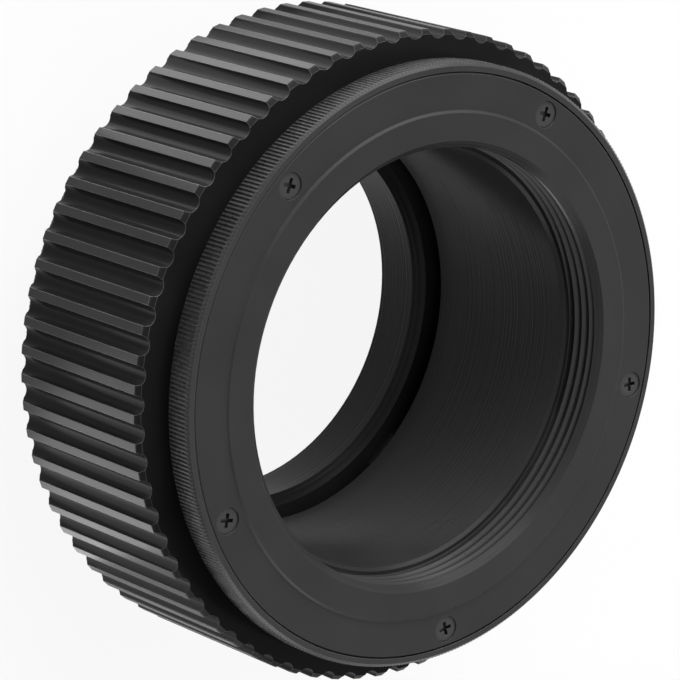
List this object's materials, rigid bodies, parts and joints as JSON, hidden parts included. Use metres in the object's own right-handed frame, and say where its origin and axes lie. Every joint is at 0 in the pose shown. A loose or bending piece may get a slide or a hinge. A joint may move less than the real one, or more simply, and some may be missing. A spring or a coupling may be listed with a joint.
{
  "type": "focusing helicoid adapter",
  "caption": "Round black adapter between a screw-mount lens and a camera: turning its fluted ring moves the front barrel straight out to focus.",
  "frame": {"origin": "centre of the rear tube's end face, where the closed adapter stands", "axes": "+Z along the optical axis, towards the lens; +X through one of the front plate's screws"},
  "size_m": [0.0612, 0.0612, 0.029],
  "materials": {
    "black_anodised": "satin black anodised",
    "helicoid_brass": "turned and greased",
    "key_brass": "milled and chemically blackened",
    "black_steel": "black oxide",
    "bright_steel": "ground"
  },
  "bodies": {
    "base": {"rear_mount_plate": "black_anodised", "rear_plate_screws": "black_steel", "base_ring": "black_anodised", "stop_pin": "bright_steel", "retaining_ring": "black_anodised", "guide_key_1": "key_brass", "guide_key_2": "key_brass", "guide_key_3": "key_brass", "guide_key_screws": "bright_steel"},
    "focus_ring": {"focus_grip_ring": "black_anodised", "helicoid_sleeve": "helicoid_brass"},
    "front": {"front_barrel": "black_anodised", "front_mount_plate": "black_anodised", "front_plate_screws": "black_steel"}
  },
  "joints": [
    {"name": "focus_turn", "type": "hinge", "parent": "base", "child": "focus_ring", "pos_m": [0, 0, 0.016], "axis": [0, 0, -1], "range_deg": [0, 270]},
    {"name": "front_extend", "type": "slide", "parent": "base", "child": "front", "axis": [0, 0, 1], "range_m": [0, 0.012]}
  ],
  "couplings": [
    {"joint": "front_extend", "follows": "focus_turn", "m_per_rad": 0.0025464}
  ]
}
